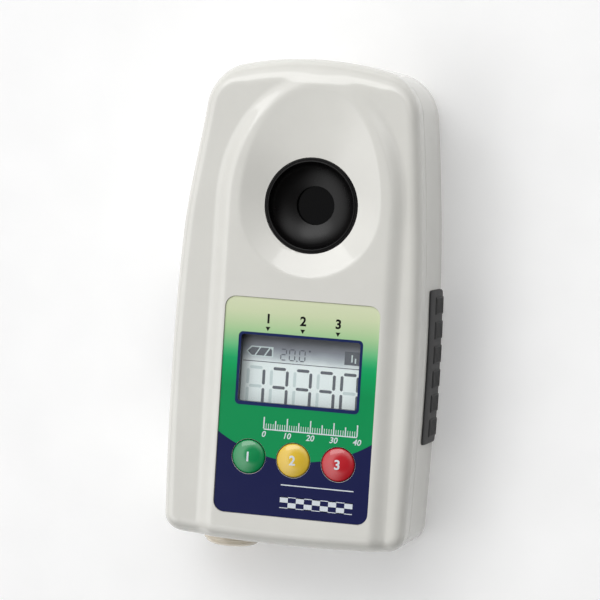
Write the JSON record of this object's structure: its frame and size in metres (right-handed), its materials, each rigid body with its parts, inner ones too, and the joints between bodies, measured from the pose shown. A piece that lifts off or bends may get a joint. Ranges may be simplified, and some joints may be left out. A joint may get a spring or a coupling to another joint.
{
  "type": "pocket digital refractometer",
  "caption": "Pocket digital refractometer: off-white case, black sample well in a dish, display and colour keys on a green and navy label, ribbed side grips, battery screw cap.",
  "frame": {"origin": "centre of the flat back of the case", "axes": "+X to the right and +Y towards the sample-well end, as seen from the display face; +Z out of the display face"},
  "size_m": [0.0732, 0.1385, 0.0322],
  "materials": {
    "housing_plastic": "glossy warm off-white ABS",
    "grip_rubber": "matt black soft grip",
    "label_film": "printed polyester film, pale green to green to navy",
    "clear_acrylic": "clear polished acrylic",
    "lcd_glass": "grey-green liquid crystal glass",
    "black_plastic": "satin black moulded plastic",
    "silicone_seal": "dark silicone",
    "green_key": "glossy green",
    "yellow_key": "glossy yellow",
    "red_key": "glossy red",
    "white_nylon": "natural nylon",
    "circuit_board": "green solder mask over glass-epoxy",
    "zinc_steel": "zinc-plated steel",
    "nickel_spring_metal": "nickel-plated spring metal",
    "prism_glass": "polished optical glass",
    "sensor_package": "dark optical package",
    "lamp_resin": "amber cast resin",
    "ribbon_film": "amber polyimide",
    "red_insulation": "red insulation",
    "black_insulation": "black insulation",
    "cell_sleeve": "printed cell sleeve"
  },
  "bodies": {
    "instrument": {"front_housing": "housing_plastic", "rear_housing": "housing_plastic", "case_seal": "silicone_seal", "case_screws": "zinc_steel", "right_grip": "grip_rubber", "left_grip": "grip_rubber", "display_label": "label_film", "display_window": "clear_acrylic", "display_glass": "lcd_glass", "display_holder": "black_plastic", "contact_strips": "silicone_seal", "switch_bodies": "black_plastic", "main_board": "circuit_board", "board_screws": "zinc_steel", "processor": "black_plastic", "ribbon_socket": "black_plastic", "sample_well": "black_plastic", "well_seal": "silicone_seal", "prism": "prism_glass", "prism_seal": "silicone_seal", "optics_block": "black_plastic", "optics_screws": "zinc_steel", "lens": "clear_acrylic", "lamp_board": "circuit_board", "lamp": "lamp_resin", "sensor_board": "circuit_board", "light_sensor": "sensor_package", "temperature_probe": "nickel_spring_metal", "sensor_ribbon": "ribbon_film", "battery_tube": "black_plastic", "outer_cell": "cell_sleeve", "inner_cell": "cell_sleeve", "positive_contact": "nickel_spring_metal", "negative_contact": "nickel_spring_metal", "positive_lead": "red_insulation", "negative_lead": "black_insulation"},
    "read_key": {"read_button": "green_key", "read_plunger": "white_nylon"},
    "scale_key": {"scale_button": "yellow_key", "scale_plunger": "white_nylon"},
    "calibrate_key": {"calibrate_button": "red_key", "calibrate_plunger": "white_nylon"},
    "contact_carriage": {"cap_contact": "nickel_spring_metal", "battery_spring": "nickel_spring_metal"},
    "screw_cap": {"battery_cap": "housing_plastic", "cap_seal": "silicone_seal"}
  },
  "joints": [
    {"name": "read_press", "type": "slide", "parent": "instrument", "child": "read_key", "axis": [0, 0, -1], "range_m": [0, 0.0005], "stiffness_N_per_m": 800},
    {"name": "scale_press", "type": "slide", "parent": "instrument", "child": "scale_key", "axis": [0, 0, -1], "range_m": [0, 0.0005], "stiffness_N_per_m": 800},
    {"name": "calibrate_press", "type": "slide", "parent": "instrument", "child": "calibrate_key", "axis": [0, 0, -1], "range_m": [0, 0.0005], "stiffness_N_per_m": 800},
    {"name": "cap_advance", "type": "slide", "parent": "instrument", "child": "contact_carriage", "axis": [0, -1, 0], "range_m": [0, 0.003]},
    {"name": "cap_turn", "type": "hinge", "parent": "contact_carriage", "child": "screw_cap", "pos_m": [-0.0185, -0.0675, 0.013], "axis": [0, -1, 0], "range_deg": [0, 720]}
  ],
  "couplings": [
    {"joint": "cap_advance", "follows": "cap_turn", "m_per_rad": 0.00023873}
  ]
}
